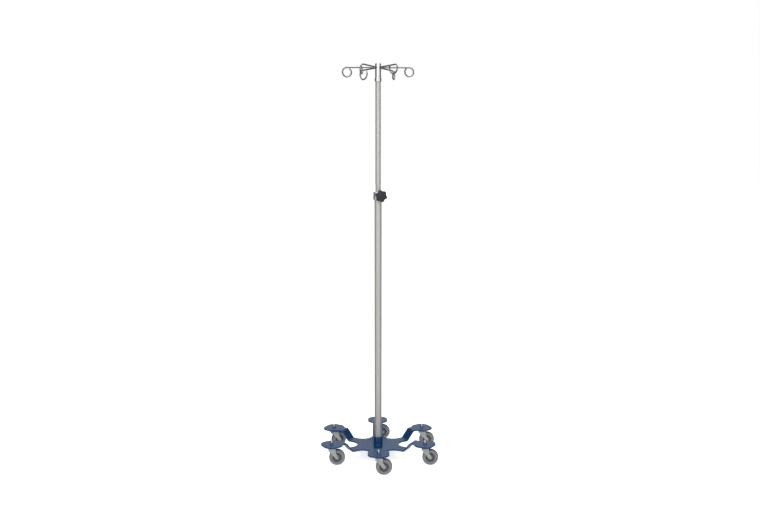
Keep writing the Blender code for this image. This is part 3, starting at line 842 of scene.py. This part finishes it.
def make_wheel(name):
    """Wheel centre with a grey boss and rim and a web painted dark as shade of its recess, and a tyre whose tread
    is painted darker, partly worn rubber and partly shade of its rounded crown.
    """
    place = wheel_frame(name)
    core = turned(wheel_core_profile(), True)
    centre = stand_in("wheel_centre_" + name, core, CORE_AND_WEB_SHADE, "wheel_core_" + name, place)
    # the sunk web keeps the dark plastic as painted shade of its recess; boss and rim take the grey
    second_finish(centre, place, BOSS, lambda radius: radius < BOSS_RADIUS or radius > WEB_RADIUS)
    rubber = turned(tyre_profile(), True, MANY_SIDES)
    tyre = stand_in("tyre_rubber_" + name, rubber, RUBBER, "tyre_" + name, place, sharp=45)
    # faces past the tread radius take the darker rubber: partly wear, partly painted shade of the rounded crown
    second_finish(tyre, place, TREAD_WEAR_AND_SHADE, lambda radius: radius > TREAD_RADIUS)


# Mast ---------------------------------------------------------------------------------------


TUBES = (("lower_tube", "mast_lower", 15.4 * MM), ("upper_tube", "mast_upper", 11 * MM))
TUBE_EDGE = 0.5 * MM


def make_tubes():
    """The two tubes of the mast, each with its bore."""
    for node, name, bore in TUBES:
        low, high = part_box(node)
        radius = (high.x - low.x) / 2
        corners = ((bore, low.z), (radius, low.z), (radius, high.z), (bore, high.z))
        wall = [(*corner, TUBE_EDGE) for corner in corners]
        stand_in(name, turned(wall, True, MANY_SIDES), TUBE, node)


def clamp_frame():
    """Frame of the clamp screw at rest: origin on the mast's axis, Z out towards the knob."""
    joint = JOINTS["knob_turn"]
    return axis_matrix(joint["pos_m"], joint["axis"])


def drilled(bm, place, radius, near, far):
    """The piece with a round hole along the frame's Z axis."""
    drill = turned([(0, near), (radius, near), (radius, far), (0, far)], count=FEW_SIDES)
    made = []
    for name, source in (("blank", bm), ("drill", drill)):
        bmesh.ops.recalc_face_normals(source, faces=source.faces)
        mesh = bpy.data.meshes.new(name)
        source.to_mesh(mesh)
        source.free()
        made.append(bpy.data.objects.new(name, mesh))
        bpy.context.scene.collection.objects.link(made[-1])
    made[1].data.transform(place)
    hole = made[0].modifiers.new("hole", "BOOLEAN")
    hole.operation, hole.solver, hole.object = "DIFFERENCE", "EXACT", made[1]
    bpy.context.view_layer.update()
    seen = made[0].evaluated_get(bpy.context.evaluated_depsgraph_get())
    result = bmesh.new()
    result.from_mesh(seen.to_mesh())
    for obj in made:
        bpy.data.meshes.remove(obj.data)
    return result


SCREW_HOLE, SCREW_HOLE_ENDS = 4.2 * MM, (8 * MM, 30 * MM)


def make_collar():
    """Chrome clamp collar: skirt, plain barrel, turned-in lip, radial hole for the clamp screw."""
    low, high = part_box("tube_collar")
    radius = high.x
    bore, lip, ledge = 17.2 * MM, 12.8 * MM, high.z - 4 * MM
    profile = [
        (bore, low.z),
        (radius - 2.8 * MM, low.z, 0.5 * MM),
        (radius - 1.4 * MM, low.z + 1.8 * MM, 1 * MM),
        (radius - 1.2 * MM, low.z + 5 * MM, 0.4 * MM),
        (radius, low.z + 5.6 * MM, 0.5 * MM),
        (radius, high.z - 5.4 * MM, 0.4 * MM),
        (radius - 0.7 * MM, high.z - 4.8 * MM, 0.3 * MM),
        (radius - 0.7 * MM, high.z - 4 * MM, 0.3 * MM),
        (radius, high.z - 3.4 * MM, 0.4 * MM),
        (radius, high.z, 1.4 * MM),
        (lip, high.z, 0.7 * MM),
        (lip, ledge),
        (bore, ledge),
    ]
    blank = turned(profile, True, MANY_SIDES)
    collar = drilled(blank, clamp_frame(), SCREW_HOLE, *SCREW_HOLE_ENDS)
    stand_in("clamp_collar_chrome", collar, COLLAR_PLATE, "tube_collar", sharp=45)


KNOB_LOBES = 6
KNOB_TURN = math.radians(-16)
KNOB_PEAK, KNOB_VALLEY, KNOB_SHARPNESS = 28.3 * MM, 23 * MM, 0.85
KNOB_SIDES = 180
# Along the clamp screw, in millimetres: heights of the lobed part, then radius and height.
KNOB_BACK, KNOB_EDGE = 34, 2.2
KNOB_SIDE, KNOB_SHOULDER, KNOB_FACE, KNOB_DOME = 44.6, 2.9, 47.5, 1.6
KNOB_BOSS = ((4.1, 43), (4.1, 24.6), (7.4, 24.5), (8, 25.1), (8.6, 31), (9.4, 33.2), (11, 34))
KNOB_GROOVE = ((12.4, 49.35), (12, 49.3), (11.7, 48.8), (11.2, 48.8), (10.9, 49.4), (10.4, 49.75))
KNOB_PLUG = ((7, 50.15), (3, 50.3), (0, 50.3))


def lobes(scale):
    """Radius of the knob's outline at an angle, at a scale."""

    def radius_at(turn):
        wave = 0.5 + 0.5 * math.cos(KNOB_LOBES * (turn - KNOB_TURN))
        return (KNOB_VALLEY + (KNOB_PEAK - KNOB_VALLEY) * wave**KNOB_SHARPNESS) * scale

    return radius_at


def knob_outlines():
    """Scale and height in millimetres of each lobed ring: back edge, side and shoulder, dome."""
    quarter = math.pi / 2
    outlines = [(0.88, KNOB_BACK)]
    for k in range(6):
        lift = quarter * (k / 5 - 1)
        height = KNOB_BACK + KNOB_EDGE * (1 + math.sin(lift))
        outlines.append((0.935 + 0.065 * math.cos(lift), height))
    for k in range(8):
        lift = quarter * k / 7
        outlines.append((0.9 + 0.1 * math.cos(lift), KNOB_SIDE + KNOB_SHOULDER * math.sin(lift)))
    for k in range(1, 7):
        share = k / 6
        outlines.append((0.9 - 0.34 * share, KNOB_FACE + KNOB_DOME * math.sin(share * quarter)))
    return outlines


def make_knob():
    """Six-lobed knob: coned boss, rounded lobes, domed face with a sunk ring and a plug."""
    rings = circles(KNOB_BOSS, count=KNOB_SIDES)
    rings += [ring(lobes(scale), height * MM, KNOB_SIDES) for scale, height in knob_outlines()]
    rings += circles(KNOB_GROOVE + KNOB_PLUG, count=KNOB_SIDES)
    stand_in("clamp_knob_moulded", loft(rings), KNOB, "knob", clamp_frame(), sharp=55)


STUD_ENDS, STUD_PITCH = (15.6 * MM, 42.5 * MM), 1.5 * MM
STUD_ROOT, STUD_CREST = 3.3 * MM, 3.9 * MM
STUD_VALLEY = (0.5, 0.62)  # of a pitch, where the thread's root begins and ends


def make_stud():
    """Threaded clamp stud, with a ground tip."""
    low, high = STUD_ENDS
    profile = [(0, low), (2.6 * MM, low), (STUD_ROOT, low + 0.9 * MM)]
    height = low + 1.4 * MM
    while height < high - STUD_PITCH:
        profile += [(STUD_CREST, height), (STUD_CREST, height + 0.2 * MM)]
        profile += [(STUD_ROOT, height + STUD_PITCH * share) for share in STUD_VALLEY]
        height += STUD_PITCH
    profile += [(STUD_ROOT, high), (0, high)]
    stud = turned(profile, count=FEW_SIDES)
    stand_in("clamp_stud_threaded", stud, ZINC, "knob_stud", clamp_frame(), sharp=30)


# Hooks --------------------------------------------------------------------------------------

HOOK_START = 8.5 * MM
LOOP_OUT, LOOP_RADIUS = 141 * MM, 20.3 * MM
ROD, ROD_SHARE = 3.4 * MM, 0.985  # its radius, and the share of it that the dressed rod has
SWEEP, SIDE_STEP, STEP_POWER = 325, 20 * MM, 1.4
ARM_STEPS, COIL_STEPS = 12, 96
HOOK_TURN = 2


def hook_route(angle, height):
    """A straight arm, then a coil that drops outside, comes back up inside and steps aside."""
    turn = Matrix.Rotation(math.radians(angle), 4, "Z")
    arm = LOOP_OUT - HOOK_START
    points = [Vector((HOOK_START + arm * k / ARM_STEPS, 0, height)) for k in range(ARM_STEPS)]
    for i in range(COIL_STEPS + 1):
        part = i / COIL_STEPS
        swing = math.radians(90 - SWEEP * part)
        out = LOOP_OUT + LOOP_RADIUS * math.cos(swing)
        up = height - LOOP_RADIUS + LOOP_RADIUS * math.sin(swing)
        points.append(Vector((out, -SIDE_STEP * part**STEP_POWER, up)))
    return [turn @ point for point in points]


def make_hooks():
    """Six equal hooks round the hub."""
    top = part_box("hook_1")[1].z - ROD
    for number in range(1, 7):
        rod = sweep(hook_route(HOOK_TURN + (number - 1) * 60, top), ROD * ROD_SHARE)
        # the rods take the darkened chrome, a painted-shade copy of the hub's
        stand_in(f"bag_hook_{number}", rod, ROD_PLATE_SHADED, f"hook_{number}")


HUB_RADIUS, HUB_RIM, HUB_BORE = 13.75 * MM, 15.5 * MM, 12.55 * MM
HUB_STEP = 1777 * MM


def make_hub():
    """Turned hub with a rounded crown, a shallow recess in its top and a wider rim."""
    low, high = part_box("hook_hub")
    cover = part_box("upper_tube")[1].z + 0.1 * MM
    profile = [
        (0, high.z - 0.4 * MM),
        (5.5 * MM, high.z - 0.4 * MM, 0.3 * MM),
        (6 * MM, high.z, 0.3 * MM),
        (HUB_RADIUS, high.z, 1.4 * MM),
        (HUB_RADIUS, HUB_STEP, 0.3 * MM),
        (HUB_RIM, HUB_STEP - 1.6 * MM, 0.6 * MM),
        (HUB_RIM, low.z + 2.8 * MM, 0.3 * MM),
        (HUB_RIM - 0.4 * MM, low.z + 2.4 * MM, 0.2 * MM),
        (HUB_RIM - 0.4 * MM, low.z, 0.8 * MM),
        (HUB_BORE, low.z),
        (HUB_BORE, cover),
        (0, cover),
    ]
    hub = turned(profile, count=MANY_SIDES)
    stand_in("hook_hub_chrome", hub, CHROME, "hook_hub", sharp=45)


GRUB_RADIUS, GRUB_KEY, GRUB_WALL = 2.5 * MM, 2.6 * MM, 1.6 * MM


def make_grub():
    """Grub screw with a chamfered point and a hexagonal socket, in the hub's rim."""
    low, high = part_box("hub_grub_screw")
    place = axis_matrix((0, low.y, (low.z + high.z) / 2), (0, 1, 0))
    length = high.y - low.y
    deep = length - GRUB_WALL
    body = ((0, 0), (1.6 * MM, 0), (GRUB_RADIUS, 0.6 * MM), (GRUB_RADIUS, length - 0.25 * MM))
    body += ((2.25 * MM, length), (1.62 * MM, length))
    rings = [circle(radius, height, FEW_SIDES) for radius, height in body]
    for height in (length - 0.2 * MM, deep):
        rings.append(ring(lambda turn: hex_reach(GRUB_KEY, turn), height, FEW_SIDES))
    rings += [circle(0, deep - 0.3 * MM, FEW_SIDES)]
    stand_in("hub_grub_socket", loft(rings), ZINC, "hub_grub_screw", place, sharp=30)


# Studio -------------------------------------------------------------------------------------


FLOOR_HALF = 60.0
SOFTBOXES = {  # name: position, target, width, height, power
    "overhead": ((0.3, -0.4, 4.2), (0, 0, 0), 3.2, 3.2, 60),
    "left_box": ((-1.7, -4.2, 2.6), (0, 0, 0.7), 1.4, 2.4, 23),
    "right_box": ((1.9, -4.0, 2.4), (0, 0, 0.7), 1.0, 2.4, 14),
}
CEILING, CEILING_RISE = (0.93, 0.99, 1.08), (0.55, 0.9)  # and where it starts and is full
GROUND, GROUND_FALL = (0.4, 0.4, 0.4), (-0.3, -0.75)
HALF_ROUND = (  # the wall's brightness by the share of a turn from the back, as far as the front
    (0.0, 0.66),
    (0.045, 0.6),
    (0.1, 0.3),
    (0.14, 0.17),
    (0.19, 0.11),
    (0.26, 0.13),
    (0.31, 0.4),
    (0.37, 0.95),
    (0.42, 1.08),
    (0.47, 0.64),
)
WALLS = HALF_ROUND + tuple((1 - place, value) for place, value in reversed(HALF_ROUND))


def make_floor():
    """A floor far wider than the view."""
    bm = bmesh.new()
    signs = ((-1, -1), (1, -1), (1, 1), (-1, 1))
    corners = [(x * FLOOR_HALF, y * FLOOR_HALF, 0) for x, y in signs]
    bm.faces.new([bm.verts.new(corner) for corner in corners])
    mesh = bpy.data.meshes.new("floor")
    bm.to_mesh(mesh)
    bm.free()
    mesh.materials.append(floor_look())
    floor = bpy.data.objects.new("floor", mesh)
    bpy.context.scene.collection.objects.link(floor)
    floor.visible_glossy = False


def softbox(name, position, target, width, height, power):
    """A rectangular light that the camera doesn't see."""
    light = bpy.data.lights.new(name, "AREA")
    light.shape = "RECTANGLE"
    light.size, light.size_y = width, height
    light.energy = power
    obj = bpy.data.objects.new(name, light)
    obj.location = position
    aim = Vector(target) - Vector(position)
    obj.rotation_euler = aim.to_track_quat("-Z", "Y").to_euler()
    obj.visible_camera = False
    bpy.context.scene.collection.objects.link(obj)


def make_world():
    """A room that reflections see as bright walls with darker gaps, and the camera as white."""
    world = bpy.data.worlds.new("studio")
    bpy.context.scene.world = world
    world.use_nodes = True
    tree = world.node_tree

    def part_way(source, low, high):
        """How far a value is between two others, from 0 to 1."""
        inputs = {"From Min": low, "From Max": high, "Value": source}
        return add_node(tree, "ShaderNodeMapRange", inputs).outputs[0]

    place = add_node(tree, "ShaderNodeTexCoord").outputs["Generated"]
    split = add_node(tree, "ShaderNodeSeparateXYZ", {0: place}).outputs
    back = add_node(tree, "ShaderNodeMath", {0: split["Y"], 1: -1.0}, operation="MULTIPLY")
    inputs = {0: split["X"], 1: back.outputs[0]}
    azimuth = add_node(tree, "ShaderNodeMath", inputs, operation="ARCTAN2").outputs[0]
    around = ramp_of(tree, part_way(azimuth, -math.pi, math.pi), WALLS)
    upper = mix_of(tree, part_way(split["Z"], *CEILING_RISE), around, CEILING)
    whole = mix_of(tree, part_way(split["Z"], *GROUND_FALL), upper, GROUND)
    seen = add_node(tree, "ShaderNodeLightPath").outputs["Is Camera Ray"]
    background = tree.nodes["Background"].inputs
    tree.links.new(mix_of(tree, seen, whole, (1.0, 1.0, 1.0)), background["Color"])
    background["Strength"].default_value = 1.0


CAMERA_DISTANCE = 3.81
CAMERA_HEIGHT = 1.3763
CAMERA_DOWN = 0.1222  # radians
CAMERA_AROUND = math.radians(-0.5)
FOCAL_PIXELS = 821.9
SENSOR_WIDTH = 36
FAR_CLIP = 200
IMAGE_WIDTH, IMAGE_HEIGHT = 760, 532
CENTRE = (378.07, 267.49)  # the lens's axis, in pixels of the image


def make_camera():
    """The photograph's camera, found from the base and the mast."""
    data = bpy.data.cameras.new("camera")
    data.sensor_width = SENSOR_WIDTH
    data.lens = SENSOR_WIDTH * FOCAL_PIXELS / IMAGE_WIDTH
    data.shift_x = (IMAGE_WIDTH / 2 - CENTRE[0]) / IMAGE_WIDTH
    data.shift_y = (CENTRE[1] - IMAGE_HEIGHT / 2) / IMAGE_WIDTH
    data.clip_end = FAR_CLIP
    camera = bpy.data.objects.new("camera", data)
    around = Matrix.Rotation(CAMERA_AROUND, 4, "Z")
    back = Matrix.Translation((0, -CAMERA_DISTANCE, CAMERA_HEIGHT))
    tilt = Matrix.Rotation(math.pi / 2 - CAMERA_DOWN, 4, "X")
    camera.matrix_world = around @ back @ tilt
    bpy.context.scene.collection.objects.link(camera)
    bpy.context.scene.camera = camera


def main():
    dress_cad_nodes()
    make_base_plate()
    make_foot()
    for name in PLACES:
        make_cap_nut(name)
        make_swivel(name)
        make_fork(name)
        make_axle(name)
        make_wheel(name)
    make_tubes()
    make_collar()
    make_knob()
    make_stud()
    make_hub()
    make_hooks()
    make_grub()
    make_floor()
    for name, settings in SOFTBOXES.items():
        softbox(name, *settings)
    make_world()
    make_camera()
    bpy.context.scene.view_settings.view_transform = "Standard"


main()
